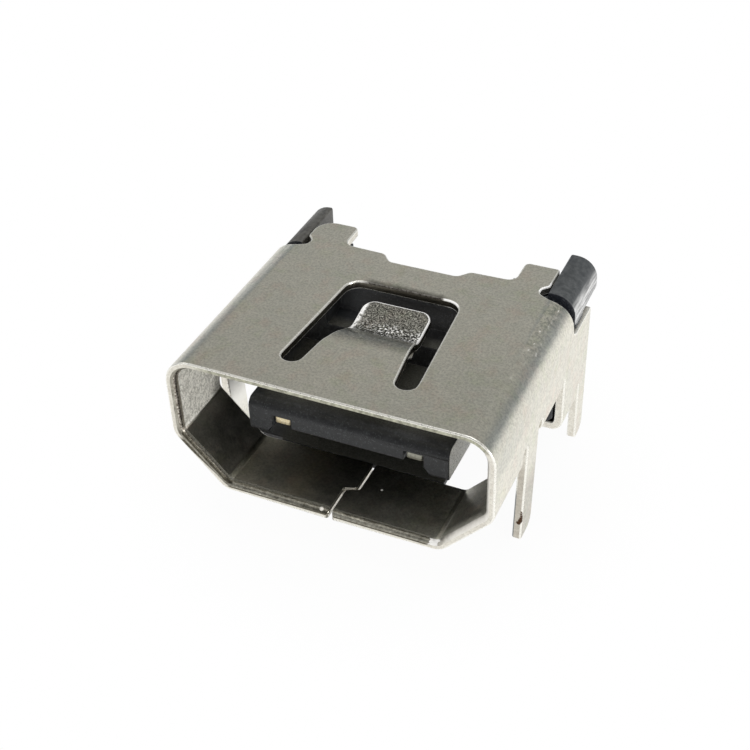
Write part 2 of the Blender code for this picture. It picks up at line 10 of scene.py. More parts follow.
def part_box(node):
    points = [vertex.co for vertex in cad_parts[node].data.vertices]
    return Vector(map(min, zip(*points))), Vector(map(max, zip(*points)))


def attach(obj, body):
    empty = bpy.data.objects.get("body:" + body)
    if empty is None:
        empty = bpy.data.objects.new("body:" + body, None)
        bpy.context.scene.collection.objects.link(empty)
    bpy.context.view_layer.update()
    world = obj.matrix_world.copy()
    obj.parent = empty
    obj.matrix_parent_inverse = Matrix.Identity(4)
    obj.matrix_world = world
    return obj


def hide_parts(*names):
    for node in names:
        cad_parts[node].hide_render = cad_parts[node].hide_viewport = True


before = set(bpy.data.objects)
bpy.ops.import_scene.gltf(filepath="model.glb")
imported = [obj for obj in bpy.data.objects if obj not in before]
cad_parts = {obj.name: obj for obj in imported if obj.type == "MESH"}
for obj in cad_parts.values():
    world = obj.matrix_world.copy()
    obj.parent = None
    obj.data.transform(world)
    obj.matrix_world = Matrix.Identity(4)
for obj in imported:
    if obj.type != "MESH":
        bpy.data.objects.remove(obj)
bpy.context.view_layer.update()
scene = bpy.context.scene

MM = 0.001

# The shell's front, right side and top, from the frame. All places and sizes here are in millimetres.
shell_low, shell_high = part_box("shell")
FRONT = round(shell_low[1] / MM, 3)
RIGHT = round(shell_high[0] / MM, 3)
TOP = round(shell_high[2] / MM, 3)

# Camera, fitted to the photo
CAMERA_PLACE = (11.824, -26.126, 25.319)
CAMERA_RIGHT = (0.91308142, 0.40677199, -0.0286159)
CAMERA_DOWN = (0.22784258, -0.56711909, -0.7914946)
CAMERA_AHEAD = (-0.33818646, 0.71617909, -0.61050588)
CAMERA_LENS = 63.22

# What the lamps face
LAMP_AIM = (0, 0, 3)

# The sheet, and the widths of rounded edges. Folds gentler than these angles, in degrees, stay as they are.
SHEET_THICKNESS = 0.25
ROLLED_EDGE = 0.045
CORNER_SHARE = 0.40
MOULDED_EDGE = 0.022
CONTACT_EDGE = 0.015
SHEET_FOLD = 28
SOLID_FOLD = 40

# The lip's chamfer, and the seam that it ends at
LIP_BACK = FRONT + 0.13
LIP_LOW, LIP_HIGH = 1.59, 1.70
LIP_LEAN = (-0.9, -0.3)
SEAM_CORNER = 0.15
SEAM_REACH = 0.75
SEAM_TOP = 2.0

# The shell's material slots
SKIN, CUT, ROLLED, LIP = range(4)

# The shell's zones. A number is a limit and a pair a range; LOW and TOP are along z, FRONT and BACK along y.
PLATE_LOW = 4.0
PLATE_BACK = 2.0
MOUTH_BACK = FRONT + 0.23
BOTTOM_TOP = 3.10
BOTTOM_BACK = 2.0
BOTTOM_FOLD_X = 2.2
WALL_X = -RIGHT + SHEET_THICKNESS + 0.05
WALL_BACK = -2.02
LEG_FRONT, LEG_BACK = -1.70, -0.4
SLOT_X, SLOT_Y = (-2.0, 2.2), (-3.3, 1.2)
LATCH_X = (-1.20, 1.40)
LATCH_LOW = 4.2
DIP_Y = (-1.60, -0.86)
TIP_Y, TIP_TOP = (DIP_Y[1], 0.70), 5.35
TIP_RIM_X, TIP_RIM_Y, TIP_RIM_Z = (-1.15, 1.35), (-0.75, 0.70), (4.6, 5.32)
UPTURNED_Y = 1.5

# The band that the coining leaves on the rim's front face. Its edge on the lower left diagonal is measured
# across that face, along this direction in x and z.
DIAGONAL_ACROSS = (0.667, 0.747)
DIAGONAL_BAND, DIAGONAL_X, DIAGONAL_Z = -0.797, -2.9, 2.9
FLAT_X, FLAT_LOW, FLAT_TOP = (-2.95, 2.7), 1.550, 1.62

# Marks on the shell. A number is a limit, a pair is a range, and a spot is its centre and its radius.
WORN_X, WORN_Y = 1.0, -0.5
TOP_RIM_X, TOP_RIM_Z = -3.9, TOP - 0.42
FROST_X, FROST_Y = (-0.95, -0.2), (-0.90, -0.42)
LEFT_BRIM_X = -0.70
DIE_ROLL_X, DIE_ROLL_Y = (-0.95, 1.10), (0.76, 1.16)
SCORED_X, SCORED_Y = 3.4, -2.2
# Where a painted light makes the inside of the mouth pale at its lower right
MOUTH_LIGHT_X, MOUTH_LIGHT_Y, MOUTH_LIGHT_Z = 2.7, FRONT + 0.44, 3.3
INLET_X, INLET_Y = 2.75, FRONT + 0.225
WALL_RIM_Y, WALL_LOW = FRONT + 0.25, 2.85
EAR_EDGE_X, EAR_EDGE_Y, EAR_EDGE_Z = (3.5, 3.75), 2.75, 5.1
LEG_LINE_X, LEG_LINE_Y, LEG_LINE_Z = (4.15, 4.31), -1.55, 1.9
BACK_LINE_X, BACK_LINE_Y, BACK_LINE_Z = 2.5, (-2.12, -1.98), 3.2
# Where the lip's right side is painted pale as painted light, and its painted highlights
LIP_LIT_X = 2.95
LIP_GLINT_X, LIP_GLINT_Z = (2.80, 3.03), 2.0
SEAM_GLINT = ((-0.25, -4.10, 1.66), 0.045)
SLOT_GLINT = ((1.45, 0.84, 5.46), 0.24)
NOTCH_GLINT = ((3.45, 2.42, 5.44), 0.24)
WRAP_GLINT = ((-2.78, -2.06, 1.70), 0.30)
FLOOR_DOT = ((0.93, -2.89, 1.70), 0.022)
STAIN = (
    ((4.435, -1.67, 1.07), 0.020), ((4.445, -1.67, 1.00), 0.026), ((4.455, -1.67, 0.92), 0.034),
    ((4.450, -1.67, 0.83), 0.050), ((4.420, -1.67, 0.74), 0.058), ((4.370, -1.67, 0.66), 0.052))
FLUX_BROWN = (0.070, 0.036, 0.018)

# The housing's zones
EAR_FRONT, EAR_LOW, EAR_X = 2.0, 4.5, 3.0
ROOM_X, ROOM_Y, ROOM_Z = (-2.5, 2.6), (0.1, 2.0), (2.0, 5.0)
GLOOM_X = (-1.4, -0.8)
TONGUE_BACK = 0.2
TONGUE_END_X, TONGUE_END_Y = (2.7, 3.1), 0.3
UNDER_SLOT_X, UNDER_SLOT_Y = (-2.4, 2.6), (-2.5, 0.2)


# Node helpers
def graph(name, world=False):
    """A new material or world with an empty node tree."""
    data = bpy.data.worlds.new(name) if world else bpy.data.materials.new(name)
    data.use_nodes = True
    data.node_tree.nodes.clear()
    return data, data.node_tree


def node(tree, kind, settings=None, **inputs):
    """One node. An input's key is its name with _ for a space, or i and its number.

    Its value is a constant or the output socket of another node.
    """
    made = tree.nodes.new(kind)
    for key, value in (settings or {}).items():
        setattr(made, key, value)
    for key, value in inputs.items():
        number = key[1:]
        socket = made.inputs[int(number) if number.isdigit() else key.replace("_", " ")]
        if isinstance(value, bpy.types.NodeSocket):
            tree.links.new(value, socket)
        else:
            socket.default_value = value
    return made


def math_node(tree, operation, a, b=0.0):
    return node(tree, "ShaderNodeMath", {"operation": operation}, i0=a, i1=b).outputs[0]


def chain(tree, operation, values):
    result = values[0]
    for value in values[1:]:
        result = math_node(tree, operation, result, value)
    return result


def total(tree, *values):
    return chain(tree, "ADD", values)


def product(tree, *values):
    return chain(tree, "MULTIPLY", values)


def largest(tree, *values):
    return chain(tree, "MAXIMUM", values)


def inverse(tree, value):
    return math_node(tree, "SUBTRACT", 1.0, value)


def remap(tree, value, low, high, to_low=0.0, to_high=1.0):
    """Low to high becomes to_low to to_high, and nothing passes the ends."""
    made = node(tree, "ShaderNodeMapRange", {"clamp": True}, Value=value, From_Min=low, From_Max=high,
                To_Min=to_low, To_Max=to_high)
    return made.outputs["Result"]


def above(tree, value, limit, soft):
    """0 up to the limit and 1 from limit + soft on."""
    return remap(tree, value, limit, limit + soft)


def below(tree, value, limit, soft):
    """1 up to limit - soft and 0 from the limit on."""
    return remap(tree, value, limit - soft, limit, 1.0, 0.0)


def within(tree, value, low, high, soft):
    """1 between low and high, fading to 0 over soft outside them."""
    return product(tree, above(tree, value, low - soft, soft), below(tree, value, high + soft, soft))


def ramp(tree, value, *stops):
    """A colour ramp with (place, colour) stops; a colour is one grey number or three numbers."""
    made = node(tree, "ShaderNodeValToRGB", Fac=value)
    bar = made.color_ramp
    while len(bar.elements) > 1:
        bar.elements.remove(bar.elements[-1])
    for i, (place, colour) in enumerate(stops):
        element = bar.elements[0] if i == 0 else bar.elements.new(place)
        element.position = place
        rgb = (colour,) * 3 if isinstance(colour, (int, float)) else colour
        element.color = (*rgb, 1.0)
    return made.outputs["Color"]


def mix(tree, kind, factor, a, b):
    """Two colours mixed by a blend type; each is a socket or three numbers."""
    a, b = (colour if isinstance(colour, bpy.types.NodeSocket) else (*colour, 1.0) for colour in (a, b))
    made = node(tree, "ShaderNodeMix", {"data_type": "RGBA", "blend_type": kind}, i0=factor, i6=a, i7=b)
    return made.outputs[2]


def tint(tree, tone, where, colour):
    """The tone multiplied by the colour where the mask is 1."""
    return mix(tree, "MULTIPLY", where, tone, colour)


def paint(tree, tone, where, colour):
    """The tone replaced by the colour where the mask is 1."""
    return mix(tree, "MIX", where, tone, colour)


def parts(tree, vector):
    split = node(tree, "ShaderNodeSeparateXYZ", Vector=vector)
    return [split.outputs[i] for i in range(3)]


class Point:
    """The point on a surface: the way that it faces and its place, in the shared frame on each piece."""

    def __init__(self, tree):
        metres = node(tree, "ShaderNodeTexCoord").outputs["Object"]
        scaled = node(tree, "ShaderNodeVectorMath", {"operation": "SCALE"}, Vector=metres, Scale=1 / MM)
        self.place = scaled.outputs[0]
        self.x, self.y, self.z = parts(tree, self.place)
        self.nx, self.ny, self.nz = parts(tree, node(tree, "ShaderNodeNewGeometry").outputs["Normal"])


def stretched(tree, place, factors):
    return node(tree, "ShaderNodeVectorMath", {"operation": "MULTIPLY"}, i0=place, i1=factors).outputs[0]


def noise(tree, place, scale, detail=3.0, rough=0.55):
    made = node(tree, "ShaderNodeTexNoise", Vector=place, Scale=scale, Detail=detail, Roughness=rough)
    return made.outputs["Fac"]


def wrinkles(tree, place, scale, width):
    """1 along thin wandering lines, 0 between them."""
    level = noise(tree, place, scale, 2.5, 0.6)
    off = math_node(tree, "ABSOLUTE", math_node(tree, "SUBTRACT", level, 0.5))
    return below(tree, off, width, width)


def spot(tree, place, mark, soft):
    """1 in the mark's radius round its centre, and 0 beyond that radius + soft."""
    centre, radius = mark
    far = node(tree, "ShaderNodeVectorMath", {"operation": "DISTANCE"}, i0=place, i1=centre)
    return below(tree, far.outputs["Value"], radius + soft, soft)


def bump(tree, height, microns, under=None):
    """A surface direction bent by a height; under is the direction that it starts from."""
    made = node(tree, "ShaderNodeBump", Strength=1.0, Distance=microns * 1e-6, Height=height)
    if under is not None:
        tree.links.new(under, made.inputs["Normal"])
    return made.outputs["Normal"]


def surface(tree, colour, roughness, normal, metallic):
    shader = node(tree, "ShaderNodeBsdfPrincipled", Base_Color=colour, Roughness=roughness,
                  Normal=normal, Metallic=metallic)
    node(tree, "ShaderNodeOutputMaterial", Surface=shader.outputs[0])


# The plated skin of the sheet
class Plating(Point):
    """A point on the plated skin, with the noises that its marks share."""

    def __init__(self, tree):
        super().__init__(tree)
        self.mottle = noise(tree, self.place, 4.0, 5.0)
        self.grain = noise(tree, self.place, 15.0, 3.0, 0.7)
        self.craze = noise(tree, self.place, 13.0, 3.0, 0.7)
        self.grit = noise(tree, self.place, 27.0, 2.0, 0.7)
        self.flecks = noise(tree, self.place, 17.0, 2.0)
        self.chatter = noise(tree, stretched(tree, self.place, (1.0, 0.8, 1.0)), 11.0, 2.0)


def rolled_plate(t, at):
    """The plate's colour: warm, cloudy and fine-grained, with faint blushes and a few brown specks; a painted
    shade darkens the top plate towards its front.
    """
    cloud = noise(t, at.place, 0.8, 4.0)
    blush = noise(t, stretched(t, at.place, (1.3, 1.0, 1.0)), 1.6, 3.0)
    moss = noise(t, stretched(t, at.place, (1.0, 1.2, 1.0)), 2.1, 3.0)
    specks = product(t, remap(t, noise(t, at.place, 8.0, 2.0), 0.71, 0.75), 0.6)
    on_top = above(t, at.z, PLATE_LOW, 0.3)
    # Painted shade: the top plate is darker towards its front.
    front_shade = ramp(t, remap(t, at.y, FRONT - 0.02, PLATE_BACK), (0.0, 0.91), (1.0, 1.0))
    worn_right = product(t, on_top, above(t, at.x, WORN_X, 2.0), below(t, at.y, WORN_Y, 2.0))
    tone = ramp(t, cloud, (0.3, (0.93, 0.905, 0.80)), (0.7, (0.98, 0.935, 0.82)))
    tone = tint(t, tone, 1.0, ramp(t, at.mottle, (0.3, (0.91, 0.92, 0.92)), (0.7, 1.0)))
    tone = tint(t, tone, 1.0, ramp(t, at.grain, (0.38, 0.76), (0.60, 1.0)))
    tone = tint(t, tone, on_top, front_shade)
    tone = tint(t, tone, worn_right, (0.94, 0.95, 0.95))
    tone = tint(t, tone, remap(t, blush, 0.52, 0.72), (1.0, 0.94, 0.93))
    tone = tint(t, tone, remap(t, moss, 0.52, 0.72), (0.94, 0.97, 0.91))
    return paint(t, tone, specks, (0.55, 0.46, 0.42))


def dip_of_latch(t, at):
    """The latch's short slope down, where the plating is crazed and dull."""
    return product(t, within(t, at.x, *LATCH_X, 0.1), within(t, at.y, *DIP_Y, 0.28),
                   above(t, at.z, LATCH_LOW, 0.1))


def tip_of_latch(t, at):
    """The latch's raised tip, rubbed rough by the plug."""
    return product(t, within(t, at.x, *LATCH_X, 0.1), within(t, at.y, *TIP_Y, 0.15),
                   within(t, at.z, LATCH_LOW, TIP_TOP, 0.05))


def frost_of_latch(t, at, tip):
    """The frosted front of the latch's tip: patchy, and fading to the left."""
    patches = remap(t, noise(t, at.place, 2.5, 2.0), 0.35, 0.55, 0.55, 1.0)
    return product(t, tip, within(t, at.y, *FROST_Y, 0.22), remap(t, at.x, *FROST_X, 0.25, 1.0), patches)


def die_roll_shade(t, at, ragged):
    """The drawn-in margin of the top plate behind the slot, painted dark as the painted shade of its roll
    downward.
    """
    front, back = DIE_ROLL_Y
    edge = total(t, at.y, product(t, ragged, 0.16))
    return product(t, above(t, at.z, TOP - 0.13, 0.04), within(t, at.x, *DIE_ROLL_X, 0.25),
                   below(t, edge, back, 0.24), above(t, at.y, front, 0.02))


def scored_and_glinting_bend(t, at):
    """The rear of the right upper bend: dark dashes of scoring from the folding tool, and white flecks that
    are painted glints.
    """
    return product(t, within(t, at.nx, 0.25, 0.55, 0.20), above(t, at.nz, 0.5, 0.2),
                   above(t, at.x, SCORED_X, 0.1), above(t, at.y, SCORED_Y, 4.0))


def front_foot(t, at):
    """The right front leg, which is painted darker than the wall that it hangs from."""
    return product(t, above(t, at.x, RIGHT - 0.3, 0.05), below(t, at.y, LEG_BACK, 0.2),
                   below(t, at.z, 2.6, 0.9))


def mouth_light_patch(t, at):
    """A painted light inside the mouth at its lower right: a pale, flecked patch."""
    place = product(t, below(t, at.y, MOUTH_LIGHT_Y, 0.30), above(t, at.x, MOUTH_LIGHT_X, 0.4),
                    below(t, at.z, MOUTH_LIGHT_Z, 0.5), above(t, at.nz, 0.2, 0.2))
    return product(t, place, remap(t, at.flecks, 0.42, 0.58, 0.10, 0.80))


def bottom_of_mouth(t, at):
    """The inner faces of the mouth's bottom and of its two lower diagonals."""
    return product(t, below(t, at.z, BOTTOM_TOP, 0.1), above(t, at.nz, 0.2, 0.2),
                   below(t, at.y, BOTTOM_BACK, 0.5))


def shaded_bottom(t, at, tone, bottom, mouth_light):
    """The bottom's painted shade: darker by a share that changes from left to right, and darker still along
    its folds.
    """
    bare = product(t, bottom, inverse(t, mouth_light))
    across = remap(t, at.x, 0.5 - RIGHT, RIGHT - 0.5)
    share = ramp(t, across, (0.07, 0.38), (0.20, 0.64), (0.5, 0.50), (0.85, 1.0))
    right_fold_shade = product(t, bare, within(t, at.nx, -0.55, -0.12, 0.08), above(t, at.x, BOTTOM_FOLD_X, 0.2))
    left_fold_shade = product(t, bottom, within(t, at.nx, 0.12, 0.55, 0.08), below(t, at.x, -BOTTOM_FOLD_X, 0.2))
    tone = tint(t, tone, bare, share)
    tone = tint(t, tone, right_fold_shade, (0.74, 0.74, 0.72))
    return tint(t, tone, left_fold_shade, (0.60, 0.60, 0.58))


def inlet_of_mouth(t, at, bottom):
    """The narrow gritty strip behind the lip's chamfer, wider at the left."""
    edge = total(t, at.y, remap(t, at.x, -0.3, 0.3, 0.0, 0.04), product(t, at.grain, 0.02))
    return product(t, below(t, edge, INLET_Y, 0.015), bottom, below(t, at.x, INLET_X, 0.1))


def left_wall(t, at):
    """The left wall's inner face in the mouth, and the same face of the legs behind it."""
    wall = product(t, above(t, at.nx, 0.85, 0.05), below(t, at.x, WALL_X, 0.02))
    inner = product(t, wall, below(t, at.y, WALL_BACK, 0.02), above(t, at.z, WALL_LOW, 0.1))
    return inner, product(t, wall, above(t, at.y, LEG_FRONT, 0.02))


def cracked_plate(t, at):
    """Plating that has cracked into wandering lines, dark at the mouth's rim."""
    fine_place = stretched(t, at.place, (1.0, 1.0, 0.7))
    lines = largest(t, wrinkles(t, at.place, 5.0, 0.045), wrinkles(t, fine_place, 9.0, 0.035))
    tone = ramp(t, lines, (0.0, (0.90, 0.88, 0.80)), (1.0, (0.40, 0.38, 0.33)))
    tone = tint(t, tone, 1.0, ramp(t, at.craze, (0.35, 0.80), (0.65, 1.0)))
    return tint(t, tone, below(t, at.y, WALL_RIM_Y, 0.05), (0.25, 0.23, 0.20))


def plated_sheet():
    """Nickel plate on rolled sheet: satin and faintly mottled, with the marks of folding and of use, and with
    painted shade, painted light and painted highlights.
    """
    material, t = graph("plated_sheet")
    at = Plating(t)
    dip, tip = dip_of_latch(t, at), tip_of_latch(t, at)
    frost = frost_of_latch(t, at, tip)
    scored_and_glinting = scored_and_glinting_bend(t, at)
    mouth_light = mouth_light_patch(t, at)
    bottom = bottom_of_mouth(t, at)
    inlet = inlet_of_mouth(t, at, bottom)
    inner, leg = left_wall(t, at)
    stamped = largest(t, dip, tip)

    tone = rolled_plate(t, at)
    tone = tint(t, tone, dip, ramp(t, at.craze, (0.3, 0.42), (0.7, 0.80)))
    tone = tint(t, tone, tip, ramp(t, at.grit, (0.40, 0.10), (0.50, 0.34), (0.60, 0.80)))
    tone = tint(t, tone, product(t, frost, below(t, at.flecks, 0.48, 0.05)), (0.08, 0.08, 0.08))
    # Painted shade along the die roll behind the slot.
    tone = tint(t, tone, die_roll_shade(t, at, at.mottle), (0.10, 0.09, 0.08))
    # Dark dashes of scoring on the bend; its white flecks, painted glints, are among the white below.
    tone = tint(t, tone, product(t, scored_and_glinting, below(t, at.chatter, 0.50, 0.08)), (0.66, 0.69, 0.70))
    # Painted light inside the mouth at its lower right.
    tone = paint(t, tone, mouth_light, (0.66, 0.65, 0.57))
    foot_tone = ramp(t, at.craze, (0.35, (0.62, 0.61, 0.60)), (0.6, (0.82, 0.81, 0.80)))
    tone = tint(t, tone, front_foot(t, at), foot_tone)
    # Painted shade on the mouth's bottom and along its folds.
    tone = shaded_bottom(t, at, tone, bottom, mouth_light)
    # The strip behind the chamfer is painted dark and gritty.
    strip_tone = ramp(t, at.grit, (0.40, (0.075, 0.072, 0.060)), (0.60, (0.21, 0.20, 0.165)))
    tone = paint(t, tone, inlet, strip_tone)
    tone = paint(t, tone, inner, cracked_plate(t, at))
    tone = paint(t, tone, leg, ramp(t, at.mottle, (0.3, (0.95, 0.935, 0.87)), (0.7, (1.0, 0.985, 0.92))))
    # White: a painted highlight along the tip's left brim, painted glints among the frost's and the scored
    # bend's flecks, and a bright dot on the mouth's floor.
    brim_highlight = product(t, tip, below(t, at.x, LEFT_BRIM_X, 0.08), above(t, at.craze, 0.40, 0.1))
    white = largest(t, brim_highlight, product(t, frost, above(t, at.flecks, 0.55, 0.03)),
                    spot(t, at.place, FLOOR_DOT, 0.015), product(t, scored_and_glinting, above(t, at.chatter, 0.66, 0.04)))
    tone = paint(t, tone, white, (1.0, 0.99, 0.96))

    rough = remap(t, at.mottle, 0.25, 0.75, 0.30, 0.40)
    rough = total(t, rough, product(t, stamped, -0.04), product(t, inner, 0.2))
    matte = largest(t, product(t, inner, 0.95), white, inlet, product(t, mouth_light, 0.8))
    normal = bump(t, at.grain, 2.6, bump(t, at.mottle, 3.0))
    normal = bump(t, product(t, at.craze, total(t, stamped, 0.10)), 22.0, normal)
    normal = bump(t, product(t, at.flecks, frost), 30.0, normal)
    surface(t, tone, rough, normal, inverse(t, matte))
    return material


# The cut faces, the lip and the rolled edges
def stain(t, at):
    """A brown fleck of flux on the front of the right front leg."""
    wavy = noise(t, at.place, 14.0, 2.0)
    moved = node(t, "ShaderNodeCombineXYZ", X=product(t, wavy, 0.06)).outputs[0]
    place = node(t, "ShaderNodeVectorMath", {"operation": "ADD"}, i0=at.place, i1=moved).outputs[0]
    return largest(t, *[spot(t, place, mark, 0.02) for mark in STAIN])


def rim_band_shade(t, at, fine):
    """The inner part of the rim's front face at its lower left and bottom, painted dark as a painted
    reflection of the mouth's dark inside.
    """
    across, up = DIAGONAL_ACROSS
    slant = total(t, product(t, at.x, across), product(t, at.z, up), product(t, fine, 0.03))
    diagonal = product(t, below(t, at.x, DIAGONAL_X, 0.1), below(t, at.z, DIAGONAL_Z, 0.1),
                       above(t, slant, DIAGONAL_BAND, 0.02))
    level = total(t, at.z, product(t, fine, 0.02))
    flat = product(t, below(t, at.z, FLAT_TOP, 0.02), within(t, at.x, *FLAT_X, 0.1),
                   above(t, level, FLAT_LOW, 0.015))
    return largest(t, diagonal, flat)


def sheared_metal():
    """The faces that a die leaves: bright at the rim and legs, with painted shade inside the latch's slot, on
    the inner band of the rim's front face and beside the ear.
    """
    material, t = graph("sheared_metal")
    at = Point(t)
    blotch = noise(t, at.place, 6.0, 4.0)
    fine = noise(t, at.place, 20.0, 3.0, 0.7)
    mouth = below(t, at.y, MOUTH_BACK, 0.05)
    slot_shade = product(t, within(t, at.x, *SLOT_X, 0.05), within(t, at.y, *SLOT_Y, 0.05),
                   above(t, at.z, PLATE_LOW, 0.05))
    top = product(t, mouth, above(t, at.z, TOP_RIM_Z, 0.1), above(t, at.x, TOP_RIM_X, 0.8))
    foot = product(t, above(t, at.x, RIGHT - 0.4, 0.05), below(t, at.y, LEG_BACK, 0.2),
                   below(t, at.z, 2.9, 0.4))
    ear_edge_shade = product(t, within(t, at.x, *EAR_EDGE_X, 0.03), above(t, at.y, EAR_EDGE_Y, 0.15),
                         above(t, at.z, EAR_EDGE_Z, 0.05))
    upturned = product(t, above(t, at.nz, 0.6, 0.2), above(t, at.y, UPTURNED_Y, 0.1))

    tone = ramp(t, blotch, (0.30, (0.76, 0.72, 0.63)), (0.62, (0.90, 0.87, 0.78)))
    tone = tint(t, tone, 1.0, ramp(t, fine, (0.35, 0.80), (0.60, 1.0)))
    # Painted shade on the cut faces inside the latch's slot.
    tone = tint(t, tone, slot_shade, (0.22, 0.21, 0.19))
    tone = tint(t, tone, top, ramp(t, blotch, (0.35, (0.38, 0.39, 0.35)), (0.60, (0.66, 0.68, 0.60))))
    tone = tint(t, tone, foot, (0.70, 0.68, 0.66))
    band_shade_tone = ramp(t, fine, (0.38, (0.065, 0.061, 0.050)), (0.62, (0.21, 0.20, 0.165)))
    # Painted shade: the dark band on the rim's front face.
    tone = tint(t, tone, product(t, mouth, rim_band_shade(t, at, fine)), band_shade_tone)
    # Painted shade on the cut face beside the right ear.
    tone = tint(t, tone, ear_edge_shade, (0.30, 0.29, 0.27))
    tone = paint(t, tone, stain(t, at), FLUX_BROWN)
    rough = remap(t, fine, 0.2, 0.8, 0.30, 0.48)
    normal = bump(t, fine, 3.0, bump(t, blotch, 5.0))
    surface(t, tone, rough, normal, inverse(t, product(t, upturned, 0.6)))
    return material


def coined_lip():
    """The thinned lip round the mouth: brown and crazed by the coining, with painted shade on its lower left
    diagonal, painted light on its right side and painted highlights.
    """
    material, t = graph("coined_lip")
    at = Point(t)
    craze = noise(t, stretched(t, at.place, (1.0, 1.0, 0.8)), 11.0, 4.0, 0.7)
    streak = noise(t, at.place, 4.0, 3.0)
    peppered = noise(t, at.place, 16.0, 3.0, 0.7)
    wavy = total(t, at.x, remap(t, noise(t, at.place, 9.0, 3.0), 0.3, 0.7, -0.09, 0.09))
    left_side = above(t, at.nx, 0.69, 0.03)
    diagonal = product(t, above(t, at.nx, 0.04, 0.1), below(t, at.nx, 0.69, 0.03), above(t, at.nz, 0.2, 0.1))
    glint = product(t, within(t, wavy, *LIP_GLINT_X, 0.03), below(t, at.z, LIP_GLINT_Z, 0.1))
    # Painted light on the lip's right side, and its painted highlights.
    lit_right_and_glints = largest(t, above(t, at.x, LIP_LIT_X, 0.5), glint, spot(t, at.place, SEAM_GLINT, 0.02))

    tone = ramp(t, craze, (0.32, (0.26, 0.235, 0.19)), (0.52, (0.46, 0.44, 0.37)), (0.70, (0.70, 0.67, 0.58)))
    tone = tint(t, tone, 1.0, ramp(t, streak, (0.35, 0.75), (0.65, 1.0)))
    # Painted shade on the lip's lower left diagonal.
    tone = tint(t, tone, diagonal, (0.34, 0.325, 0.29))
    pepper = ramp(t, peppered, (0.40, (0.15, 0.125, 0.10)), (0.50, (0.44, 0.40, 0.34)),
                  (0.62, (0.86, 0.81, 0.73)))
    tone = paint(t, tone, left_side, pepper)
    tone = paint(t, tone, lit_right_and_glints, ramp(t, craze, (0.3, (0.84, 0.81, 0.74)), (0.7, (0.98, 0.95, 0.88))))
    tone = paint(t, tone, glint, (1.0, 0.985, 0.95))
    rough = remap(t, craze, 0.3, 0.7, 0.34, 0.46)
    surface(t, tone, rough, bump(t, craze, 9.0), inverse(t, product(t, lit_right_and_glints, 0.8)))
    return material


def burnished_edge():
    """The rolled edge of the sheet, with painted highlights at the latch's tip and at three corners, and
    painted shade along the die roll, the right front leg and the wrap's rear edge.
    """
    material, t = graph("burnished_edge")
    at = Point(t)
    fine = noise(t, at.place, 16.0, 3.0, 0.6)
    # The tip's rim and three corners get painted highlights.
    tip = product(t, within(t, at.x, *TIP_RIM_X, 0.05), within(t, at.y, *TIP_RIM_Y, 0.1),
                  within(t, at.z, *TIP_RIM_Z, 0.03))
    slot_glint = spot(t, at.place, SLOT_GLINT, 0.08)
    other_glints = [spot(t, at.place, mark, 0.08) for mark in (NOTCH_GLINT, WRAP_GLINT)]
    edge_highlights = largest(t, tip, slot_glint, *other_glints)
    margin_shade = product(t, die_roll_shade(t, at, fine), inverse(t, slot_glint))
    leg_edge_shade = product(t, within(t, at.x, *LEG_LINE_X, 0.02), below(t, at.y, LEG_LINE_Y, 0.05),
                       below(t, at.z, LEG_LINE_Z, 0.3))
    back_edge_shade = product(t, within(t, at.y, *BACK_LINE_Y, 0.02), above(t, at.x, BACK_LINE_X, 0.1),
                        below(t, at.z, BACK_LINE_Z, 0.1))

    tone = ramp(t, fine, (0.3, (0.86, 0.84, 0.76)), (0.55, (0.96, 0.94, 0.87)))
    tone = paint(t, tone, edge_highlights, (1.0, 0.99, 0.97))
    # Painted shade along the die roll, on the rolled edge.
    tone = tint(t, tone, margin_shade, (0.08, 0.07, 0.06))
    # Painted shade along the right front leg's edge and the wrap's rear edge.
    tone = tint(t, tone, leg_edge_shade, (0.25, 0.27, 0.29))
    tone = tint(t, tone, back_edge_shade, (0.12, 0.12, 0.12))
    tone = paint(t, tone, stain(t, at), FLUX_BROWN)
    matte = product(t, total(t, product(t, edge_highlights, 0.65), 0.30), inverse(t, back_edge_shade))
    surface(t, tone, remap(t, fine, 0.2, 0.8, 0.22, 0.38), bump(t, fine, 3.0), inverse(t, matte))
    return material


# The other materials
def ear_tone(t, at, tone, ear, skin):
    """The ears' tone: a paler black, paler still and warmer on the left one, with fronts painted near black
    as painted shade.
    """
    left = product(t, ear, below(t, at.x, -EAR_X, 0.1))
    # Painted shade on the faces of the ears that look forward.
    front = product(t, ear, below(t, at.ny, -0.45, 0.25))
    tone = paint(t, tone, ear, ramp(t, skin, (0.35, (0.040, 0.044, 0.047)), (0.65, (0.088, 0.093, 0.095))))
    tone = paint(t, tone, left, ramp(t, skin, (0.35, (0.055, 0.052, 0.046)), (0.65, (0.118, 0.114, 0.102))))
    return paint(t, tone, front, (0.010, 0.012, 0.018))


def lit_right_sides(t, at, ear, pits):
    """Painted light on the tongue's right end and on the right ear's side, and its streaked tone."""
    right_ear = product(t, ear, above(t, at.x, EAR_X, 0.1))
    end = product(t, above(t, at.nx, 0.80, 0.15), within(t, at.x, *TONGUE_END_X, 0.05),
                  below(t, at.y, TONGUE_END_Y, 0.1))
    streak = noise(t, stretched(t, at.place, (6.0, 0.6, 6.0)), 2.2, 3.0)
    end_light_tone = ramp(t, pits, (0.36, (0.42, 0.42, 0.41)), (0.58, (1.0, 1.0, 0.97)))
    ear_light_tone = ramp(t, streak, (0.38, (0.24, 0.24, 0.24)), (0.52, (0.54, 0.54, 0.53)), (0.66, (0.78, 0.78, 0.77)))
    where = largest(t, end, product(t, right_ear, above(t, at.nx, 0.82, 0.17)))
    return where, paint(t, end_light_tone, right_ear, ear_light_tone)


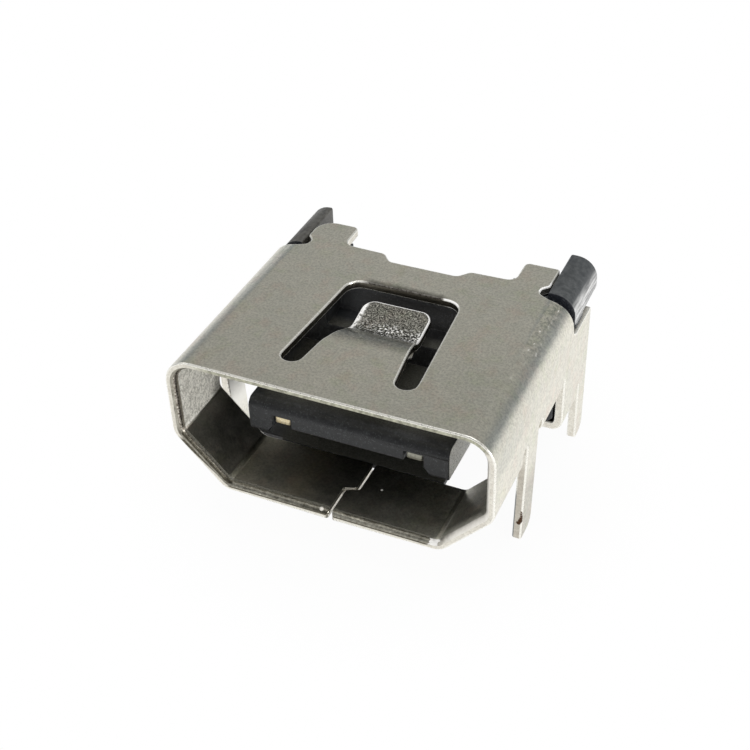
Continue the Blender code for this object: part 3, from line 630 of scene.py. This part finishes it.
def moulded_black():
    """Black glass-filled nylon: satin skin with a fine pitted grain; its right sides and the floor under the
    slot get painted light, and its room behind the slot, its ear fronts and the tongue's front get painted
    shade.
    """
    material, t = graph("moulded_black")
    at = Point(t)
    skin = noise(t, at.place, 7.0, 4.0, 0.65)
    pits = noise(t, at.place, 20.0, 3.0, 0.7)
    ear = product(t, above(t, at.y, EAR_FRONT, 0.05), above(t, at.z, EAR_LOW, 0.05))
    room = product(t, within(t, at.x, *ROOM_X, 0.1), within(t, at.y, *ROOM_Y, 0.4),
                   within(t, at.z, *ROOM_Z, 0.1))
    right_light, right_light_tone = lit_right_sides(t, at, ear, pits)
    tongue = below(t, at.y, TONGUE_BACK, 0.1)
    front = product(t, tongue, below(t, at.ny, -0.3, 0.3), inverse(t, right_light))
    under_slot = product(t, within(t, at.y, *UNDER_SLOT_Y, 0.3), within(t, at.x, *UNDER_SLOT_X, 0.3),
                         above(t, at.nz, 0.7, 0.2))
    dust = product(t, above(t, pits, 0.56, 0.12), remap(t, tongue, 0.0, 1.0, 0.45, 0.60))

    tone = ramp(t, skin, (0.35, (0.022, 0.024, 0.026)), (0.65, (0.050, 0.053, 0.057)))
    tone = ear_tone(t, at, tone, ear, skin)
    # Painted shade in the room behind the slot, darker to the right.
    room_shade = ramp(t, remap(t, at.x, *GLOOM_X), (0.0, 0.80), (1.0, (0.30, 0.27, 0.25)))
    tone = tint(t, tone, room, room_shade)
    # Painted light on the right sides.
    tone = paint(t, tone, right_light, right_light_tone)
    # Painted shade on the tongue's faces that look forward.
    tone = tint(t, tone, front, (0.45, 0.45, 0.45))
    # Painted light on the upward faces under the slot.
    lit = ramp(t, pits, (0.40, (0.050, 0.050, 0.042)), (0.60, (0.095, 0.093, 0.078)))
    tone = paint(t, tone, under_slot, lit)
    tone = paint(t, tone, dust, (0.10, 0.105, 0.11))
    rough = remap(t, skin, 0.3, 0.7, 0.38, 0.52)
    surface(t, tone, rough, bump(t, pits, 2.6, bump(t, skin, 3.4)), 0.0)
    return material


def gold_plate():
    """Gold-plated spring strip, satin, with drawn lines along it; the right strip is painted dull grey as
    painted shade.
    """
    material, t = graph("gold_plated_strip")
    at = Point(t)
    drawn = noise(t, stretched(t, at.place, (9.0, 1.0, 1.0)), 3.0, 4.0)
    fine = noise(t, at.place, 20.0, 2.0)
    tone = ramp(t, drawn, (0.3, (0.84, 0.68, 0.40)), (0.7, (0.98, 0.88, 0.62)))
    # Painted shade: the right strip is painted dull grey.
    tone = paint(t, tone, above(t, at.x, 0.0, 0.5), (0.36, 0.355, 0.29))
    tone = tint(t, tone, 1.0, ramp(t, fine, (0.3, 0.75), (0.6, 1.0)))
    rough = remap(t, fine, 0.2, 0.8, 0.24, 0.38)
    surface(t, tone, rough, bump(t, drawn, 2.5, bump(t, fine, 2.0)), 0.6)
    return material


# Pieces
def join_flat_faces(mesh):
    bmesh.ops.remove_doubles(mesh, verts=mesh.verts, dist=1e-7)
    bmesh.ops.dissolve_limit(mesh, angle_limit=0.01, verts=mesh.verts, edges=mesh.edges)


def solid_of(name):
    """The CAD node's solid as an editable mesh with flat faces joined."""
    mesh = bmesh.new()
    mesh.from_mesh(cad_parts[name].data)
    join_flat_faces(mesh)
    bmesh.ops.recalc_face_normals(mesh, faces=mesh.faces)
    return mesh


def finish_piece(mesh, name, node_name, materials, width, segments=3, rolled_slot=None):
    """A piece for a node: its mesh with rounded edges and smooth shading.

    With a slot for its rolled edges, the edges' own weights say how round each one is.
    """
    data = bpy.data.meshes.new(name)
    mesh.to_mesh(data)
    mesh.free()
    data.shade_smooth()
    for material in materials:
        data.materials.append(material)
    piece = bpy.data.objects.new(name, data)
    scene.collection.objects.link(piece)
    bevel = piece.modifiers.new("rounded_edges", "BEVEL")
    bevel.width = width * MM
    bevel.segments = segments
    if rolled_slot is None:
        bevel.limit_method = "ANGLE"
        bevel.angle_limit = math.radians(SOLID_FOLD)
    else:
        bevel.limit_method = "WEIGHT"
        bevel.material = rolled_slot
    bevel.use_clamp_overlap = False
    bevel.harden_normals = True
    bevel.miter_outer = "MITER_ARC"
    normals = piece.modifiers.new("even_normals", "WEIGHTED_NORMAL")
    normals.keep_sharp = True
    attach(piece, "root")
    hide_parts(node_name)


def even_lip(mesh):
    """Brings the points of the lip's two corners at the seam onto the slope of its chamfer."""
    slope = (LIP_HIGH - LIP_LOW) / (LIP_BACK - FRONT)
    hair = 0.002
    for vert in mesh.verts:
        x, y, z = vert.co / MM
        if abs(x) > SEAM_CORNER or y > LIP_BACK or not LIP_LOW - hair < z < LIP_HIGH + hair:
            continue
        if z > LIP_HIGH - hair:
            vert.co.y = LIP_BACK * MM
        else:
            vert.co.z = (LIP_LOW + (y - FRONT) * slope) * MM
    join_flat_faces(mesh)


def skin_faces(mesh):
    """The faces that are skins of the sheet: over most of their area the metal ends one sheet behind them."""
    tree = BVHTree.FromBMesh(mesh)
    reach = SHEET_THICKNESS * 1.12 * MM
    skin_area, whole_area = {}, {}
    for loops in mesh.calc_loop_triangles():
        face = loops[0].face
        a, b, c = (loop.vert.co for loop in loops)
        area = (b - a).cross(c - a).length
        start = (a + b + c) / 3 - face.normal * 1e-6
        hit, _, _, far = tree.ray_cast(start, -face.normal)
        if hit is not None and far < reach:
            skin_area[face] = skin_area.get(face, 0.0) + area
        whole_area[face] = whole_area.get(face, 0.0) + area
    return {face for face, area in whole_area.items() if skin_area.get(face, 0.0) > area / 2}


def lip_faces(mesh):
    """The faces of the lip's chamfer: those at the front that face half forward."""
    back = (LIP_BACK + 0.05) * MM
    least, most = LIP_LEAN
    return {face for face in mesh.faces
            if face.calc_center_median().y < back and least < face.normal.y < most}


def roundness(edge, skins, lips):
    """The share of the rounding that an edge gets.

    That is none at the lip and in the seam, all of it between a skin and a cut, and a part at other corners.
    """
    a, b = edge.link_faces
    middle = (edge.verts[0].co + edge.verts[1].co) / 2 / MM
    in_seam = abs(middle.x) < SEAM_REACH and middle.z < SEAM_TOP
    if in_seam or a in lips or b in lips:
        return 0.0
    return 1.0 if (a in skins) != (b in skins) else CORNER_SHARE


def make_shell():
    mesh = solid_of("shell")
    even_lip(mesh)
    skins, lips = skin_faces(mesh), lip_faces(mesh)
    for face in mesh.faces:
        face.material_index = LIP if face in lips else SKIN if face in skins else CUT
    weight = mesh.edges.layers.float.new("bevel_weight_edge")
    for edge in mesh.edges:
        if len(edge.link_faces) == 2 and edge.calc_face_angle(0.0) >= math.radians(SHEET_FOLD):
            edge[weight] = roundness(edge, skins, lips)
    materials = [plated_sheet(), sheared_metal(), burnished_edge(), coined_lip()]
    finish_piece(mesh, "plated_shell", "shell", materials, ROLLED_EDGE, rolled_slot=ROLLED)


def make_housing():
    mesh = solid_of("housing")
    finish_piece(mesh, "moulded_housing", "housing", [moulded_black()], MOULDED_EDGE)


def make_contact(side, material):
    mesh = solid_of("contact_" + side)
    finish_piece(mesh, "contact_strip_" + side, "contact_" + side, [material], CONTACT_EDGE, segments=2)


# Surroundings
def make_floor():
    """A pale floor just under the legs.

    The camera and the metal see it as white, but for a small share of its own colour near the object, which
    keeps a faint shadow.
    """
    material, t = graph("pale_floor")
    place = Point(t).place
    path = node(t, "ShaderNodeLightPath")
    seen = math_node(t, "MAXIMUM", path.outputs["Is Camera Ray"], path.outputs["Is Glossy Ray"])
    shade = ramp(t, noise(t, place, 0.4, 3.0), (0.3, 0.78), (0.7, 0.82))
    matte = node(t, "ShaderNodeBsdfDiffuse", Color=shade)
    white = node(t, "ShaderNodeEmission", Color=(1, 1, 1, 1), Strength=1.0)
    near = spot(t, place, ((0.0, 0.0, 0.0), 5.0), 3.0)
    share = product(t, seen, remap(t, near, 0.0, 1.0, 1.0, 0.955))
    both = node(t, "ShaderNodeMixShader", i0=share, i1=matte.outputs[0], i2=white.outputs[0])
    node(t, "ShaderNodeOutputMaterial", Surface=both.outputs[0])
    half, gap = 600 * MM, 0.02 * MM
    corners = [(-half, -half, 0), (half, -half, 0), (half, half, 0), (-half, half, 0)]
    data = bpy.data.meshes.new("floor")
    data.from_pydata(corners, [], [(0, 1, 2, 3)])
    data.materials.append(material)
    floor = bpy.data.objects.new("floor", data)
    floor.location = (0, 0, -gap)
    scene.collection.objects.link(floor)


def make_world():
    """A soft room round the object, and white behind it.

    The room is white low down, then dark and cool, then paler and warm, and dimmer overhead. Its front is
    darker. Light that a matte surface gathers comes from an even grey instead.
    """
    world, t = graph("soft_room", world=True)
    way = node(t, "ShaderNodeTexCoord").outputs["Generated"]
    _, forward, height = parts(t, way)
    room = ramp(t, remap(t, height, -0.2, 1.0),
                (0.0, 0.95), (0.15, 0.85),
                (0.24, (0.235, 0.265, 0.295)), (0.49, (0.210, 0.236, 0.262)),
                (0.58, (0.416, 0.410, 0.381)), (0.67, (0.430, 0.424, 0.398)),
                (0.80, (0.31, 0.31, 0.30)), (0.90, 0.26), (1.0, 0.40))
    front = remap(t, forward, -0.15, -0.6)
    room = paint(t, room, product(t, front, 0.65), (0.10, 0.10, 0.10))
    path = node(t, "ShaderNodeLightPath")
    room = paint(t, room, path.outputs["Is Diffuse Ray"], (0.68, 0.68, 0.68))
    colour = paint(t, room, path.outputs["Is Camera Ray"], (1.0, 1.0, 1.0))
    background = node(t, "ShaderNodeBackground", Color=colour, Strength=1.0)
    node(t, "ShaderNodeOutputWorld", Surface=background.outputs[0])
    scene.world = world


def make_lamp(name, place, size, watts):
    """A round area lamp that faces the middle of the object."""
    data = bpy.data.lights.new(name, "AREA")
    data.shape = "DISK"
    data.size = size * MM
    data.energy = watts
    lamp = bpy.data.objects.new(name, data)
    lamp.location = Vector(place) * MM
    lamp.rotation_mode = "QUATERNION"
    lamp.rotation_quaternion = (Vector(LAMP_AIM) - Vector(place)).to_track_quat("-Z", "Y")
    scene.collection.objects.link(lamp)


def make_camera():
    data = bpy.data.cameras.new("camera")
    data.lens = CAMERA_LENS
    data.sensor_width = 36.0
    data.clip_start = 0.001
    data.clip_end = 5.0
    camera = bpy.data.objects.new("camera", data)
    right, down, ahead = Vector(CAMERA_RIGHT), Vector(CAMERA_DOWN), Vector(CAMERA_AHEAD)
    turn = Matrix((right, -down, -ahead)).transposed()
    camera.matrix_world = Matrix.Translation(Vector(CAMERA_PLACE) * MM) @ turn.to_4x4()
    scene.collection.objects.link(camera)
    scene.camera = camera


make_camera()
make_world()
make_floor()
make_lamp("softbox_over", (20, -10, 140), 100, 0.05)
make_lamp("softbox_left", (-120, -50, 100), 80, 0.03)
make_lamp("softbox_right", (155, -60, 28), 45, 0.10)
make_shell()
make_housing()
gold = gold_plate()
make_contact("left", gold)
make_contact("right", gold)

scene.view_settings.view_transform = "Standard"
